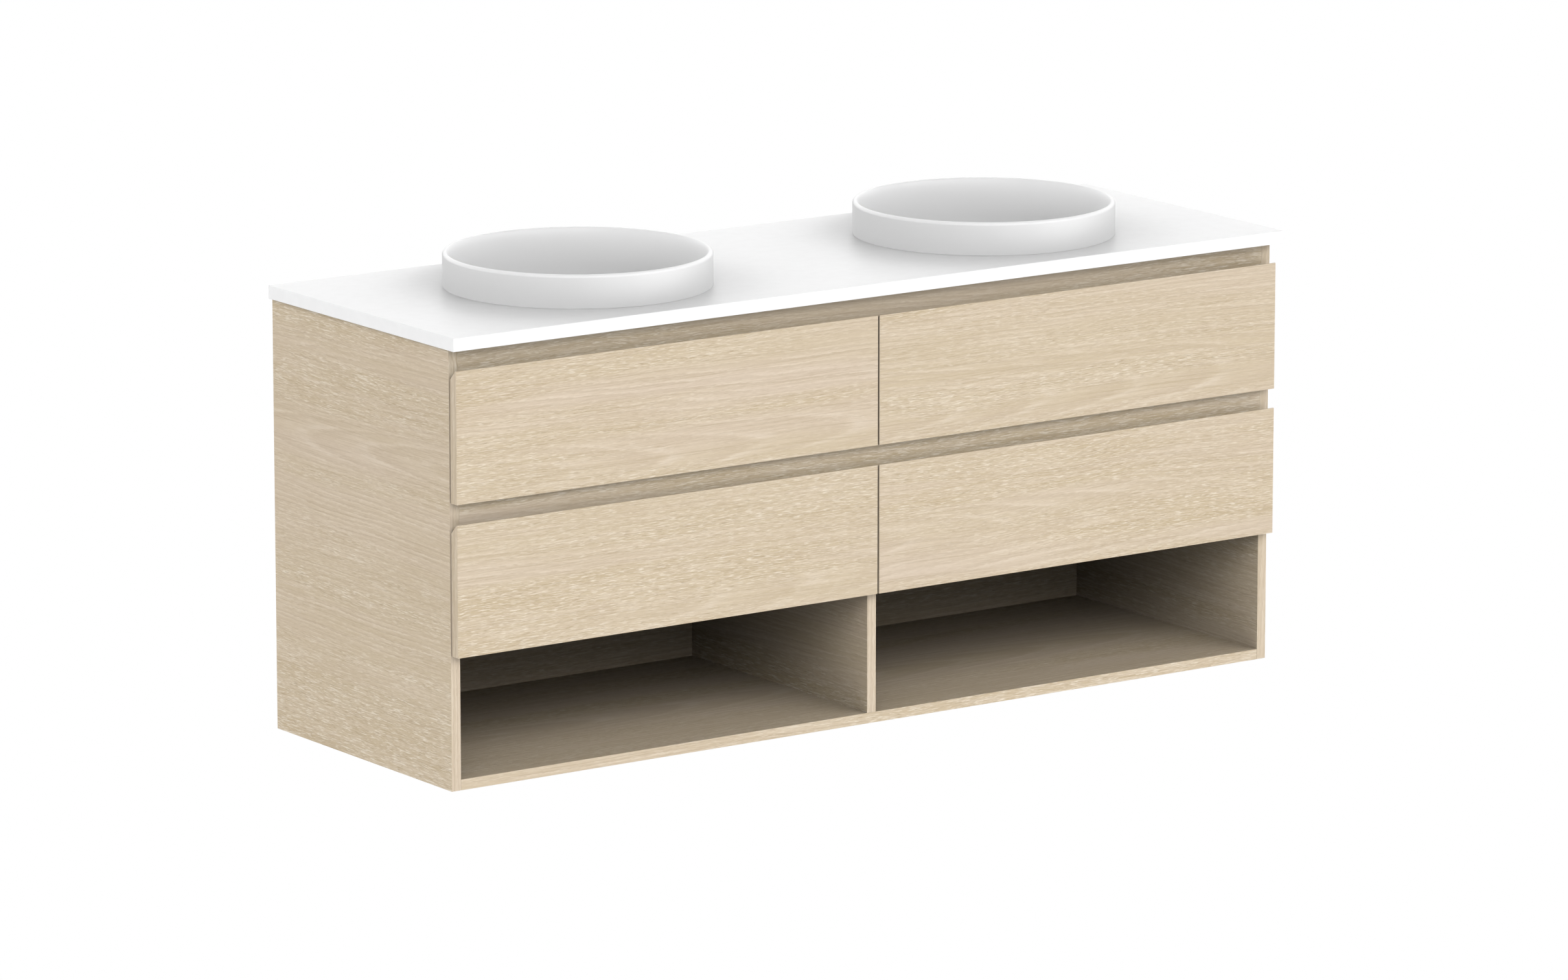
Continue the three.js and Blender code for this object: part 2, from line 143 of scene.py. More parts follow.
def make_oak_group():
    """Pale brushed oak. The vectors are (along the grain, across it, depth), in metres:
    one from the tree's heart, which sets the rings, and one that picks the rest of the figure."""
    tree = bpy.data.node_groups.new("oak_grain", "ShaderNodeTree")
    tree.interface.new_socket("From Heart", in_out="INPUT", socket_type="NodeSocketVector")
    tree.interface.new_socket("Vector", in_out="INPUT", socket_type="NodeSocketVector")
    tree.interface.new_socket("Color", in_out="OUTPUT", socket_type="NodeSocketColor")
    tree.interface.new_socket("Roughness", in_out="OUTPUT", socket_type="NodeSocketFloat")
    tree.interface.new_socket("Height", in_out="OUTPUT", socket_type="NodeSocketFloat")
    graph = Graph(tree)
    from_heart, vector = graph.add("NodeGroupInput").outputs[:2]
    output = graph.add("NodeGroupOutput")

    # The grain wanders a few degrees off the board's edge.
    wander = graph.noise(graph.scaled(vector, (3.0, 5.0, 5.0)), detail=1.0)
    sideways = graph.add("ShaderNodeCombineXYZ", {1: graph.ranged(wander, -0.008, 0.008)}).outputs[0]
    vector = graph.shifted(vector, sideways)

    # Growth rings: cylinders round a pith that runs nearly along the board,
    # bent by slow noise, so a flat face cuts them into long arches.
    bend = graph.noise(graph.scaled(vector, (0.9, 4.0, 4.0)), detail=2.0)
    ripple = graph.noise(graph.scaled(vector, (5.0, 34.0, 34.0)), detail=2.0)
    fray = graph.noise(graph.scaled(vector, (90.0, 300.0, 300.0)), detail=1.0)
    parts = graph.add("ShaderNodeSeparateXYZ", {0: from_heart}).outputs
    across = graph.math("ADD", parts[1], graph.ranged(bend, -0.035, 0.035))
    across = graph.math("ADD", across, graph.ranged(ripple, -0.008, 0.008))
    across = graph.math("ADD", across, graph.ranged(fray, -0.0025, 0.0025))
    depth = graph.math("ADD", parts[2], graph.math("MULTIPLY", parts[0], 0.04))
    squares = graph.math("ADD", graph.math("POWER", across, 2.0), graph.math("POWER", depth, 2.0))
    radius = graph.math("SQRT", squares)
    phase = graph.math("FRACT", graph.math("MULTIPLY", radius, 150.0))
    late = graph.math("MULTIPLY", graph.smooth(phase, 0.35, 0.85), graph.smooth(phase, 1.0, 0.9))
    early = graph.math("MULTIPLY", graph.smooth(phase, 0.0, 0.06), graph.smooth(phase, 0.30, 0.10))

    # Zones of open pores, filled with light limewash, lie between smoother, pinker zones.
    zone = graph.smooth(graph.noise(graph.scaled(vector, (0.8, 15.0, 15.0)), detail=3.0), 0.40, 0.60)
    fleck = graph.smooth(graph.noise(graph.scaled(vector, (58.0, 680.0, 680.0)), detail=2.0), 0.54, 0.66)
    dash = graph.smooth(graph.noise(graph.scaled(vector, (38.0, 1150.0, 1150.0)), detail=1.0), 0.54, 0.68)
    pore = graph.smooth(graph.noise(graph.scaled(vector, (70.0, 1050.0, 1050.0)), detail=1.5), 0.56, 0.70)
    mottle = graph.noise(graph.scaled(vector, (5.0, 130.0, 130.0)), detail=4.0, roughness=0.65)
    fibre = graph.noise(graph.scaled(vector, (4.0, 460.0, 460.0)), detail=3.0, roughness=0.6)
    drift = graph.noise(graph.scaled(vector, (0.8, 9.0, 9.0)), detail=3.0)

    colour = graph.mix(zone, srgb(208, 191, 169), srgb(199, 181, 152))
    colour = graph.mix(graph.smooth(drift, 0.35, 0.68), colour, srgb(203, 186, 159))
    pale = graph.math("MULTIPLY", graph.smooth(mottle, 0.42, 0.66), 0.50)
    colour = graph.mix(pale, colour, srgb(214, 198, 175))
    shaded = graph.math("MULTIPLY", graph.smooth(fibre, 0.52, 0.32), 0.45)
    colour = graph.mix(shaded, colour, srgb(187, 168, 141))
    arches = graph.math("MULTIPLY", graph.ranged(zone, 0.36, 0.10), graph.smooth(mottle, 0.30, 0.62))
    colour = graph.mix(graph.math("MULTIPLY", late, arches), colour, srgb(189, 170, 145))
    colour = graph.mix(graph.math("MULTIPLY", early, arches), colour, srgb(220, 206, 187))
    specks = graph.math("ADD", fleck, graph.math("MULTIPLY", dash, 0.6), clamp=True)
    light = graph.math("MULTIPLY", specks, graph.ranged(zone, 0.18, 0.72))
    colour = graph.mix(light, colour, srgb(225, 213, 194))
    dark = graph.math("MULTIPLY", pore, graph.ranged(zone, 0.14, 0.48))
    colour = graph.mix(dark, colour, srgb(172, 152, 124))
    # The whole figure is deepened by 1.4 about its mean colour.
    colour = graph.mix(1.4, srgb(205, 188, 162), colour, clamp=False)
    graph.feed(output.inputs["Color"], colour)

    gloss = graph.math("MULTIPLY", light, 0.06)
    roughness = graph.math("SUBTRACT", graph.ranged(fibre, 0.50, 0.62), gloss)
    graph.feed(output.inputs["Roughness"], roughness)
    height = graph.math("SUBTRACT", graph.math("MULTIPLY", fibre, 0.5), dark)
    graph.feed(output.inputs["Height"], height)
    return tree


def oak_material(name, group, grain_on_faces, heart, seed):
    """Oak whose grain runs along the axis named for the X, Y and Z faces of a board."""
    material, graph, shader = new_material(name)
    coordinates = graph.add("ShaderNodeTexCoord")
    place = graph.add("ShaderNodeSeparateXYZ", {0: coordinates.outputs["Object"]}).outputs
    facing = graph.add("ShaderNodeSeparateXYZ", {0: coordinates.outputs["Normal"]}).outputs

    def on_face(face):
        grain = "XYZ".index(grain_on_faces[face])
        across = 3 - face - grain
        inputs = {0: place[grain], 1: place[across], 2: place[face]}
        return graph.add("ShaderNodeCombineXYZ", inputs).outputs[0]

    def faces_along(axis):
        return graph.math("GREATER_THAN", graph.math("ABSOLUTE", facing[axis]), 0.7)

    vector = graph.mix_vector(faces_along(1), on_face(2), on_face(1))
    vector = graph.mix_vector(faces_along(0), vector, on_face(0))
    grain = graph.add("ShaderNodeGroup", node_tree=group)
    graph.feed(grain.inputs["From Heart"], graph.shifted(vector, heart))
    graph.feed(grain.inputs["Vector"], graph.shifted(vector, (seed, 0.7 * seed, 0.3 * seed)))
    graph.feed(shader.inputs["Base Color"], grain.outputs["Color"])
    graph.feed(shader.inputs["Roughness"], grain.outputs["Roughness"])
    shader.inputs["Specular IOR Level"].default_value = 0.35
    add_bump(graph, shader, grain.outputs["Height"], 0.25, 0.0004)
    return material


def flat_material(name, low, high, scale, roughness, bump, metallic):
    """A nearly even surface: colour and roughness drift gently, with a fine texture in relief."""
    material, graph, shader = new_material(name)
    place = graph.add("ShaderNodeTexCoord").outputs["Object"]
    cloud = graph.noise(place, scale * 0.06, detail=3.0)
    fine = graph.noise(place, scale, detail=3.0, roughness=0.6)
    colour = graph.mix(graph.smooth(cloud, 0.3, 0.7), low, high)
    colour = graph.mix(graph.ranged(fine, 0.0, 0.3), colour, low)
    graph.feed(shader.inputs["Base Color"], colour)
    graph.feed(shader.inputs["Roughness"], graph.ranged(fine, roughness - 0.06, roughness + 0.06))
    shader.inputs["Metallic"].default_value = metallic
    if bump:
        add_bump(graph, shader, fine, bump, 0.0002)
    return material


def make_materials():
    """Every finish but the oak: its two colours, the texture's scale, the roughness, the relief
    and how metallic it is."""
    finishes = {
        "solid_surface": ((246, 246, 246), (249, 249, 249), 900.0, 0.42, 0.03, 0.0),
        "ceramic": ((248, 248, 248), (250, 250, 250), 300.0, 0.36, 0.02, 0.0),
        "melamine": ((214, 211, 204), (222, 219, 213), 1200.0, 0.55, 0.12, 0.0),
        "powder_coat": ((196, 198, 200), (204, 206, 208), 1500.0, 0.50, 0.15, 0.0),
        "zinc": ((172, 176, 180), (196, 199, 202), 700.0, 0.34, 0.06, 1.0),
        "chrome": ((214, 216, 218), (222, 224, 226), 500.0, 0.12, 0.0, 1.0),
        "brass": ((196, 158, 92), (208, 172, 108), 700.0, 0.30, 0.05, 1.0),
        "plastic": ((176, 178, 180), (184, 186, 188), 1500.0, 0.50, 0.10, 0.0),
        "rubber": ((38, 38, 39), (48, 48, 49), 1200.0, 0.72, 0.15, 0.0),
    }
    materials = {}
    for name, (low, high, *texture) in finishes.items():
        materials[name] = flat_material(name, srgb(*low), srgb(*high), *texture)
    return materials


# ------------------------------------------------------------------ mesh helpers

def rounded(corners, steps=6):
    """A closed outline from corners (x, y, radius), each rounded by an arc."""
    points = []
    count = len(corners)
    for index, (x, y, radius) in enumerate(corners):
        here = Vector((x, y))
        if radius == 0:
            points.append((x, y))
            continue
        before = (Vector(corners[index - 1][:2]) - here).normalized()
        after = (Vector(corners[(index + 1) % count][:2]) - here).normalized()
        half = before.angle(after) / 2
        centre = here + (before + after).normalized() * (radius / math.sin(half))
        start = here + before * (radius / math.tan(half)) - centre
        end = here + after * (radius / math.tan(half)) - centre
        first = math.atan2(start.y, start.x)
        sweep = math.remainder(math.atan2(end.y, end.x) - first, 2 * math.pi)
        for step in range(steps + 1):
            angle = first + sweep * step / steps
            points.append((centre.x + radius * math.cos(angle), centre.y + radius * math.sin(angle)))
    return points


def bridge(bm, first, second):
    """Faces between two closed rings of vertices, where either may be a single point."""
    count = max(len(first), len(second))
    for index in range(count):
        following = (index + 1) % count
        corners = [first[index % len(first)], first[following % len(first)]]
        corners += [second[following % len(second)], second[index % len(second)]]
        corners = list(dict.fromkeys(corners))
        if len(corners) > 2:
            bm.faces.new(corners)


def turn(bm, rows, centre, segments=96, closed=True):
    """Turns (radius, height) rows about a vertical axis. A radius may be a function of the angle."""
    rings = []
    for radius, height in rows:
        if not callable(radius) and radius < 1e-9:
            rings.append([bm.verts.new(centre + Vector((0, 0, height)))])
            continue
        ring = []
        for segment in range(segments):
            angle = 2 * math.pi * segment / segments
            reach = radius(angle) if callable(radius) else radius
            offset = Vector((reach * math.cos(angle), reach * math.sin(angle), height))
            ring.append(bm.verts.new(centre + offset))
        rings.append(ring)
    for first, second in zip(rings, rings[1:]):
        bridge(bm, first, second)
    if closed:
        bridge(bm, rings[-1], rings[0])


def prism(bm, outline, length, matrix):
    """An outline extruded along the third axis of matrix."""
    low = [bm.verts.new(matrix @ Vector((x, y, 0))) for x, y in outline]
    high = [bm.verts.new(matrix @ Vector((x, y, length))) for x, y in outline]
    bridge(bm, low, high)
    bm.faces.new(low)
    bm.faces.new(high)


def sweep(bm, path, section):
    """A closed section of (outward, height) points carried along a level path."""
    rings = []
    for index, point in enumerate(path):
        before = path[max(index - 1, 0)]
        after = path[min(index + 1, len(path) - 1)]
        along = (after - before).normalized()
        outward = Vector((-along.y, along.x, 0))
        ring = []
        for reach, height in section:
            ring.append(bm.verts.new(point + outward * reach + Vector((0, 0, height))))
        rings.append(ring)
    for first, second in zip(rings, rings[1:]):
        bridge(bm, first, second)
    bm.faces.new(rings[0])
    bm.faces.new(rings[-1])


def screw_head(bm, matrix, radius):
    """A pan head with a cross recess, standing on the matrix's XY plane."""
    lines = (-1.0, -0.85, -0.62, -0.56, -0.36, -0.17, -0.12, 0.12, 0.17, 0.36, 0.56, 0.62, 0.85, 1.0)

    def recessed(x, y):
        low, high = sorted((abs(x), abs(y)))
        return low < 0.15 and high < 0.60

    grid = []
    for x in lines:
        row = []
        for y in lines:
            edge = max(abs(x), abs(y))
            squash = edge / math.hypot(x, y) if edge > 0.62 else 1.0
            reach = math.hypot(x, y) * squash
            height = 0.62 * math.sqrt(max(0.0, 1.25 - reach * reach))
            height -= 0.42 if recessed(x, y) else 0.0
            row.append(bm.verts.new(matrix @ (Vector((x * squash, y * squash, height)) * radius)))
        grid.append(row)
    for first, second in zip(grid, grid[1:]):
        for index in range(len(lines) - 1):
            bm.faces.new((first[index], second[index], second[index + 1], first[index + 1]))
    rim = grid[0] + [row[-1] for row in grid[1:]] + grid[-1][-2::-1] + [row[0] for row in grid[-2:0:-1]]
    flat = matrix.inverted()
    foot = []
    for vertex in rim:
        below = flat @ vertex.co
        foot.append(bm.verts.new(matrix @ Vector((below.x, below.y, 0))))
    bridge(bm, rim, foot)
    bm.faces.new(foot)


def add_piece(name, bm, material, body, smooth_degrees=35):
    """A mesh piece that rides on a body and takes its finish from a material slot."""
    bmesh.ops.recalc_face_normals(bm, faces=bm.faces)
    mesh = bpy.data.meshes.new(name)
    bm.to_mesh(mesh)
    bm.free()
    mesh.materials.append(material)
    mesh.shade_smooth()
    mesh.set_sharp_from_angle(angle=math.radians(smooth_degrees))
    piece = bpy.data.objects.new(name, mesh)
    bpy.context.scene.collection.objects.link(piece)
    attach(piece, body)
    return piece


def placed(origin, towards):
    """A matrix at origin whose third axis points towards a direction."""
    return Matrix.Translation(origin) @ towards.to_track_quat("Z", "Y").to_matrix().to_4x4()


# ------------------------------------------------------------------- CAD boards

def dress_node(name, material, edge):
    """Gives a solid board or sheet its material and breaks its sharp edges."""
    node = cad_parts[name]
    node.data.materials.clear()
    node.data.materials.append(material)
    weld = node.modifiers.new("weld", "WELD")
    weld.merge_threshold = 1e-5
    bevel = node.modifiers.new("soft_edges", "BEVEL")
    bevel.width = edge
    bevel.segments = 2
    bevel.limit_method = "ANGLE"
    bevel.angle_limit = math.radians(40)
    node.modifiers.new("even_faces", "WEIGHTED_NORMAL")


def dress_boards(materials):
    """The carcass, the fronts and the benchtop. Each oak board states the axis its grain follows on
    its X, Y and Z faces, where it lies from its tree's heart, and a seed for the rest of its figure."""
    group = make_oak_group()
    upright = ("Y", "Z", "Y")
    front = ("Z", "X", "X")
    level = ("Y", "X", "X")
    boards = {
        "side_panel_left": (upright, (0.60, 0.14, 0.79), 1.0),
        "side_panel_right": (upright, (0.40, 0.30, -0.68), 2.0),
        "niche_divider": (upright, (0.30, 0.55, 0.05), 3.0),
        "bottom_panel": (level, (0.80, 0.28, 0.66), 4.0),
        "niche_deck": (level, (0.70, 0.20, 0.46), 5.0),
        "niche_back_panel": (front, (0.90, 0.50, 0.08), 6.0),
        "top_finger_rail": (front, (0.70, 0.10, 0.56), 7.0),
        "middle_finger_rail": (front, (0.50, 0.28, 0.56), 8.0),
        "hanging_rail": (front, (0.70, 0.04, 0.08), 9.0),
        "upper_left_front": (front, (0.90, 0.14, 0.56), 10.0),
        "upper_right_front": (front, (0.30, 0.14, 0.55), 11.0),
        "lower_left_front": (front, (0.90, 0.36, 0.57), 12.0),
        "lower_right_front": (front, (0.30, 0.33, 0.56), 13.0),
    }
    for name, (grain, heart, seed) in boards.items():
        dress_node(name, oak_material("oak_" + name, group, grain, heart, seed), 0.5 * MM)
    dress_node("drawer_divider", materials["melamine"], 0.4 * MM)
    dress_node("benchtop", materials["solid_surface"], 1.0 * MM)


def dress_drawers(materials):
    """The drawer boxes and the runners."""
    for level in LEVELS:
        for side in SIDES:
            prefix = f"{level}_{side}_"
            backs = ("back",) if level == "lower" else ("back_left", "back_right")
            for piece in ("base", *backs):
                dress_node(prefix + piece, materials["melamine"], 0.4 * MM)
            for wall in SIDES:
                dress_node(prefix + "side_" + wall, materials["powder_coat"], 0.25 * MM)
                dress_node(prefix + "runner_" + wall, materials["zinc"], 0.25 * MM)
                dress_node(prefix + "runner_middle_" + wall, materials["zinc"], 0.25 * MM)


# ----------------------------------------------------------------------- basins

def axis_of(node):
    """The vertical axis of a turned CAD node, at height 0, with its lowest and highest corner."""
    low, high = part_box(node)
    return Vector(((low.x + high.x) / 2, (low.y + high.y) / 2, 0)), low, high


def build_basin(side, materials):
    """A round bowl let into the benchtop, with a rounded rim that flares into the inner wall."""
    axis, low, high = axis_of("basin_" + side)
    outer = (high.x - low.x) / 2
    slab_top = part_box("benchtop")[1].z
    crown = outer - 5.2 * MM
    flare, drop = 10.5 * MM, 60 * MM
    neck = outer - 6.5 * MM
    floor = low.z + 10 * MM
    bore = 22.5 * MM
    profile = rounded([
        (bore, floor, 0.8 * MM),
        (bore, low.z, 0.8 * MM),
        (neck, low.z, 48 * MM),
        (neck, slab_top, 0),
        (outer, slab_top, 0.4 * MM),
        (outer, high.z, 5.0 * MM),
        (crown, high.z, 0),
    ], steps=10)
    flare_steps = 24
    for step in range(1, flare_steps + 1):
        angle = math.pi / 2 * step / flare_steps
        profile.append((crown - flare * math.sin(angle), high.z - drop * (1 - math.cos(angle))))
    profile += rounded([
        (crown - flare, high.z - drop, 0),
        (crown - flare - 2 * MM, floor + 3 * MM, 38 * MM),
        (bore + 12 * MM, floor, 6 * MM),
        (bore, floor, 0),
    ], steps=10)[1:-1]
    bm = bmesh.new()
    turn(bm, profile, axis, segments=160)
    bowl = add_piece("basin_bowl_" + side, bm, materials["ceramic"], "carcass", 60)
    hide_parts("basin_" + side)


def build_waste(side, materials):
    """The waste body: a flange in the bowl's floor and a threaded tube below it."""
    axis, low, high = axis_of("waste_body_" + side)
    seat = high.z - 2.5 * MM
    flange = (high.x - low.x) / 2
    outer, inner = 21 * MM, 16 * MM
    pitch, ridge = 2 * MM, 0.5 * MM
    thread_low, thread_high = low.z + 8 * MM, seat - 10.5 * MM

    def thread(height):
        return lambda angle: outer - ridge + ridge * abs(2 * math.fmod(
            (height - thread_low) / pitch + angle / (2 * math.pi), 1.0) - 1)

    steps = int((thread_high - thread_low) / (pitch / 6))
    rows = [(inner, low.z), (outer - 0.8 * MM, low.z), (outer - ridge, low.z + 0.8 * MM)]
    for step in range(steps + 1):
        height = thread_low + (thread_high - thread_low) * step / steps
        rows.append((thread(height), height))
    rows += [
        (outer, thread_high + 1 * MM),
        (outer, seat),
        (flange - 0.2 * MM, seat),
        (flange, seat + 0.3 * MM),
        (flange, high.z - 1 * MM),
        (flange - 0.4 * MM, high.z - 0.3 * MM),
        (flange - 1.2 * MM, high.z),
        (inner + 0.6 * MM, high.z),
        (inner, high.z - 0.6 * MM),
    ]
    bm = bmesh.new()
    turn(bm, rows, axis, segments=64)
    body = add_piece("waste_tube_" + side, bm, materials["chrome"], "carcass", 40)
    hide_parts("waste_body_" + side)


def build_waste_nut(side, materials):
    """A chamfered hexagon nut with a rubber washer between it and the bowl."""
    axis, low, high = axis_of("waste_nut_" + side)
    corner = (high.x - low.x) / 2
    flat = corner * math.cos(math.pi / 6)
    bore = 21.5 * MM
    washer = 3 * MM

    def hexagon(limit):
        def radius(angle):
            off_flat = math.remainder(angle - math.pi / 6, math.pi / 3)
            return min(flat / math.cos(off_flat), limit)
        return radius

    top = high.z - washer
    chamfer = 1.8 * MM
    full, cut = hexagon(corner), hexagon(corner - 1.9 * MM)
    rows = [
        (bore, low.z + 0.6 * MM),
        (bore + 0.6 * MM, low.z),
        (flat - 0.3 * MM, low.z),
        (cut, low.z + chamfer * 0.6),
        (full, low.z + chamfer * 1.6),
        (full, top - chamfer * 1.6),
        (cut, top - chamfer * 0.6),
        (flat - 0.3 * MM, top),
        (bore + 0.6 * MM, top),
        (bore, top - 0.6 * MM),
    ]
    bm = bmesh.new()
    turn(bm, rows, axis, segments=96)
    nut = add_piece("waste_backnut_" + side, bm, materials["brass"], "carcass", 25)
    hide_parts("waste_nut_" + side)

    bm = bmesh.new()
    edge = corner + 1 * MM
    section = rounded([
        (bore, top, 0),
        (edge, top, 0.8 * MM),
        (edge, high.z, 0.8 * MM),
        (bore, high.z, 0),
    ], steps=3)
    turn(bm, section, axis, segments=64)
    add_piece("waste_washer_" + side, bm, materials["rubber"], "carcass")


def build_plug(side, materials):
    """A domed cap on a stem."""
    axis, low, high = axis_of("waste_plug_" + side)
    edge = (high.x - low.x) / 2
    seat = high.z - 4 * MM
    stem = 4 * MM
    rows = [(0, low.z), (stem - 0.6 * MM, low.z), (stem, low.z + 0.6 * MM), (stem, seat)]
    rows += [(edge - 0.5 * MM, seat), (edge, seat + 0.4 * MM), (edge, seat + 1.4 * MM)]
    brim, crown = seat + 1.4 * MM, 2.6 * MM
    for degrees in range(10, 90, 10):
        angle = math.radians(degrees)
        rows.append((edge * math.cos(angle), brim + crown * math.sin(angle)))
    rows.append((0, brim + crown))
    bm = bmesh.new()
    turn(bm, rows, axis, segments=96, closed=False)
    plug = add_piece("waste_plug_cap_" + side, bm, materials["chrome"], "plug_" + side, 50)
    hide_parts("waste_plug_" + side)


# ---------------------------------------------------------------------- drawers

def build_notch_surround(side, materials):
    """The plastic wall round the plumbing notch, with a lip that laps over the drawer back."""
    name = f"upper_{side}_notch_surround"
    low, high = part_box(name)
    wall, lip, radius = 3 * MM, 5 * MM, 40 * MM
    corners = [(low.x, high.y, 0), (low.x, low.y, radius), (high.x, low.y, radius), (high.x, high.y, 0)]
    path = [Vector((x, y, 0)) for x, y in reversed(rounded(corners, steps=12))]
    section = rounded([
        (0, low.z, 0.6 * MM),
        (wall, low.z, 0.6 * MM),
        (wall, high.z + 1.2 * MM, 1.1 * MM),
        (-lip, high.z + 1.2 * MM, 0.5 * MM),
        (-lip, high.z + 0.2 * MM, 0),
        (0, high.z + 0.2 * MM, 0),
    ], steps=3)
    bm = bmesh.new()
    sweep(bm, path, section)
    body = f"upper_{side}_drawer"
    surround = add_piece(f"upper_{side}_notch_liner", bm, materials["plastic"], body)
    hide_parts(name)


def build_front_fixings(level, side, materials):
    """Steel angles that join the drawer sides to the front, and their screws."""
    prefix = f"{level}_{side}_"
    back_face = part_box(prefix + "side_left")[0].y
    base_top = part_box(prefix + "base")[1].z
    plate, flange, reach, tall = 1.2 * MM, 20 * MM, 34 * MM, 62 * MM
    angles, screws = bmesh.new(), bmesh.new()
    for wall, inward in (("left", 1), ("right", -1)):
        low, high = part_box(prefix + "side_" + wall)
        face = high.x if inward > 0 else low.x
        outline = rounded([
            (0, 0, 0),
            (flange, 0, 0.4 * MM),
            (flange, plate, 0.4 * MM),
            (plate, plate, 1.0 * MM),
            (plate, reach, 0.4 * MM),
            (0, reach, 0.4 * MM),
        ], steps=3)
        corner = Matrix.Translation((face, back_face, base_top + 4 * MM))
        prism(angles, outline, tall, corner @ Matrix.Diagonal((inward, 1, 1, 1)))
        for height in (14 * MM, 48 * MM):
            into_front = Vector((face + inward * 12 * MM, back_face + plate, base_top + height))
            screw_head(screws, placed(into_front, Vector((0, 1, 0))), 3.6 * MM)
            into_side = Vector((face + inward * plate, back_face + 22 * MM, base_top + height))
            screw_head(screws, placed(into_side, Vector((inward, 0, 0))), 2.8 * MM)
    body = f"{level}_{side}_drawer"
    add_piece(prefix + "front_angles", angles, materials["zinc"], body)
    add_piece(prefix + "front_screws", screws, materials["zinc"], body)


def build_back_fixings(level, side, materials):
    """Steel plates that join the drawer sides to the back, and their screws."""
    prefix = f"{level}_{side}_"
    plates, screws = bmesh.new(), bmesh.new()
    for wall, inward in (("left", 1), ("right", -1)):
        low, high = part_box(prefix + "side_" + wall)
        base_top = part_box(prefix + "base")[1].z
        outer = low.x if inward > 0 else high.x
        tall = high.z - base_top - 22 * MM
        outline = rounded([
            (6 * MM, 0, 2 * MM),
            (34 * MM, 0, 4 * MM),
            (34 * MM, tall, 4 * MM),
            (6 * MM, tall, 2 * MM),
        ])
        placing = Matrix((
            (inward, 0, 0, outer),
            (0, 0, 1, high.y),
            (0, 1, 0, base_top + 4 * MM),
            (0, 0, 0, 1),
        ))
        prism(plates, outline, 1.2 * MM, placing)
        for height in (0.22 * tall, 0.78 * tall):
            place = Vector((outer + inward * 24 * MM, high.y + 1.2 * MM, base_top + 4 * MM + height))
            screw_head(screws, placed(place, Vector((0, 1, 0))), 3.4 * MM)
    body = f"{level}_{side}_drawer"
    add_piece(prefix + "back_plates", plates, materials["zinc"], body)
    add_piece(prefix + "back_screws", screws, materials["zinc"], body)


def build_bumpers(level, side, materials):
    """Soft dots between the front's back face and the carcass edges."""
    prefix = f"{level}_{side}_"
    low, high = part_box(prefix + "front")
    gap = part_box("side_panel_left")[0].y - high.y
    rows = [
        (0, 0),
        (3.6 * MM, 0),
        (4 * MM, 0.2 * MM),
        (4 * MM, gap - 0.35 * MM),
        (3.4 * MM, gap - 0.1 * MM),
        (0, gap - 0.05 * MM),
    ]
    bm = bmesh.new()
    for x in (low.x + 6 * MM, high.x - 6 * MM):
        for z in (low.z + 20 * MM, high.z - 45 * MM):
            done = len(bm.verts)
            turn(bm, rows, Vector((0, 0, 0)), segments=24, closed=False)
            bm.verts.ensure_lookup_table()
            place = placed(Vector((x, high.y, z)), Vector((0, 1, 0)))
            bmesh.ops.transform(bm, matrix=place, verts=bm.verts[done:])
    add_piece(prefix + "bumpers", bm, materials["plastic"], f"{level}_{side}_drawer")


def build_runner_screws(level, side, materials):
    """Four screws along each runner, through its web into the carcass."""
    prefix = f"{level}_{side}_"
    bm = bmesh.new()
    for wall, inward in (("left", 1), ("right", -1)):
        low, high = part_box(prefix + "runner_" + wall)
        web = (low.x if inward > 0 else high.x) + inward * 1.5 * MM
        for back in (28 * MM, 170 * MM, 330 * MM, 425 * MM):
            place = Vector((web, low.y + back, (low.z + high.z) / 2))
            screw_head(bm, placed(place, Vector((inward, 0, 0))), 3.0 * MM)
    add_piece(prefix + "runner_screws", bm, materials["zinc"], "carcass")


def build_drawer_details(materials):
    """Fixings, bumpers and screws for all four drawers."""
    for level in LEVELS:
        for side in SIDES:
            build_front_fixings(level, side, materials)
            build_back_fixings(level, side, materials)
            build_bumpers(level, side, materials)
            build_runner_screws(level, side, materials)


# ------------------------------------------------------------- camera and lights

def place_camera():
    """A long lens from the front left, a little above the benchtop."""
    azimuth, elevation = math.radians(-35), math.radians(12)
    target, distance = Vector((0, -0.25, -0.2852)), 13.15
    back = Vector((
        math.sin(azimuth) * math.cos(elevation),
        -math.cos(azimuth) * math.cos(elevation),
        math.sin(elevation),
    ))
    data = bpy.data.cameras.new("camera")
    data.lens = 200.9
    data.sensor_width = 36
    data.clip_end = 200
    camera = bpy.data.objects.new("camera", data)
    camera.location = target + back * distance
    camera.rotation_mode = "QUATERNION"
    camera.rotation_quaternion = (-back).to_track_quat("-Z", "Y")
    bpy.context.scene.collection.objects.link(camera)
    bpy.context.scene.camera = camera


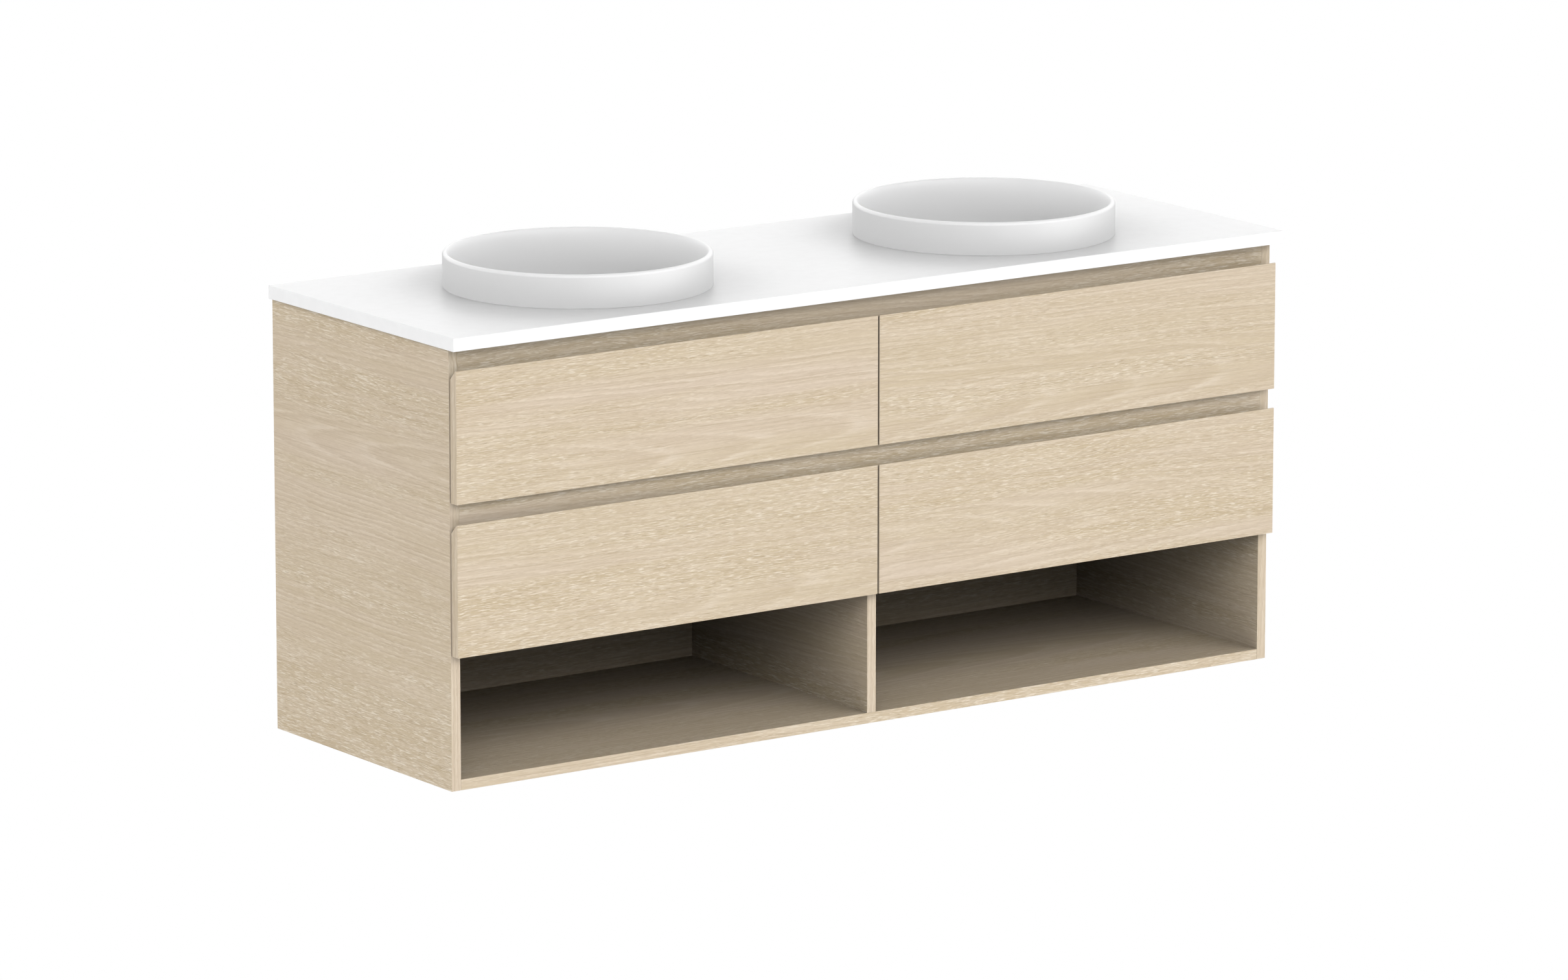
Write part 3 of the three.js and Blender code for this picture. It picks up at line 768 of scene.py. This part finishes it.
def make_world():
    """White behind the object. A soft ring a little above level lights it from all round, and gives
    way in front to a higher, stronger panel. A weak wash comes from below, most from the right.
    Polished metal also mirrors a pale ceiling."""
    world = bpy.data.worlds.new("studio")
    world.use_nodes = True
    bpy.context.scene.world = world
    graph = Graph(world.node_tree)
    world.node_tree.nodes.clear()
    direction = graph.add("ShaderNodeTexCoord").outputs["Generated"]
    rightward, _, upward = graph.add("ShaderNodeSeparateXYZ", {0: direction}).outputs
    level = graph.scaled(direction, (1.0, 1.0, 0.0))
    bearing = graph.add("ShaderNodeVectorMath", {0: level}, operation="NORMALIZE").outputs[0]
    backward = graph.add("ShaderNodeSeparateXYZ", {0: bearing}).outputs[1]

    def lobe(strength, *steps):
        """Light from the directions that every step lets through."""
        glow = strength
        for axis, low, high in steps:
            glow = graph.math("MULTIPLY", graph.smooth(axis, low, high), glow)
        return glow

    lobes = (
        lobe(2.12, (upward, 0.00, 0.16), (upward, 0.70, 0.40), (backward, -0.85, -0.30)),
        lobe(2.90, (upward, 0.12, 0.45), (upward, 0.80, 0.60), (backward, -0.30, -0.85)),
        lobe(0.12, (upward, -0.25, -0.10), (upward, 0.30, 0.10), (backward, -0.30, -0.85)),
        lobe(0.74, (upward, 0.00, -0.15)),
        lobe(2.85, (upward, -0.10, -0.40), (upward, -0.80, -0.60), (rightward, 0.20, 0.90)),
    )
    rays = graph.add("ShaderNodeLightPath").outputs
    glow = graph.math("MULTIPLY", lobe(0.85, (upward, 0.30, 0.80)), rays["Is Glossy Ray"])
    for extra in lobes:
        glow = graph.math("ADD", glow, extra)
    dome = graph.add("ShaderNodeBackground", {"Color": (1, 1, 1, 1), "Strength": glow})
    white = graph.add("ShaderNodeBackground", {"Color": (1, 1, 1, 1), "Strength": 1.0})
    inputs = {0: rays["Is Camera Ray"], 1: dome.outputs[0], 2: white.outputs[0]}
    shown = graph.add("ShaderNodeMixShader", inputs)
    output = graph.add("ShaderNodeOutputWorld")
    graph.feed(output.inputs["Surface"], shown.outputs[0])


def make_floor():
    """A plain pale studio floor, well below the wall-hung cabinet, lit to an even white."""
    half_width, drop = 60.0, 0.25
    bm = bmesh.new()
    bmesh.ops.create_grid(bm, x_segments=8, y_segments=8, size=half_width)
    mesh = bpy.data.meshes.new("studio_floor")
    bm.to_mesh(mesh)
    bm.free()
    material = bpy.data.materials.new("studio_floor")
    material.use_nodes = True
    material.node_tree.nodes.clear()
    graph = Graph(material.node_tree)
    white = graph.add("ShaderNodeEmission", {"Color": (1, 1, 1, 1), "Strength": 1.0})
    clear = graph.add("ShaderNodeBsdfTransparent")
    underneath = graph.add("ShaderNodeNewGeometry").outputs["Backfacing"]
    surface = graph.add("ShaderNodeMixShader", {0: underneath, 1: white.outputs[0], 2: clear.outputs[0]})
    output = graph.add("ShaderNodeOutputMaterial")
    graph.feed(output.inputs["Surface"], surface.outputs[0])
    mesh.materials.append(material)
    floor = bpy.data.objects.new("studio_floor", mesh)
    floor.location.z = cad_box[0].z - drop
    for ray in ("visible_diffuse", "visible_glossy", "visible_transmission", "visible_shadow"):
        setattr(floor, ray, False)
    bpy.context.scene.collection.objects.link(floor)


def light_the_scene():
    """Direct light only: the shade in the niches and gaps deepens as it does under an open sky."""
    make_world()
    make_floor()
    bpy.context.scene.view_settings.view_transform = "Standard"
    bpy.context.scene.cycles.diffuse_bounces = 0


# ------------------------------------------------------------------------ build

place_camera()
light_the_scene()
materials = make_materials()
dress_boards(materials)
dress_drawers(materials)
for side in SIDES:
    build_basin(side, materials)
    build_waste(side, materials)
    build_waste_nut(side, materials)
    build_plug(side, materials)
    build_notch_surround(side, materials)
build_drawer_details(materials)
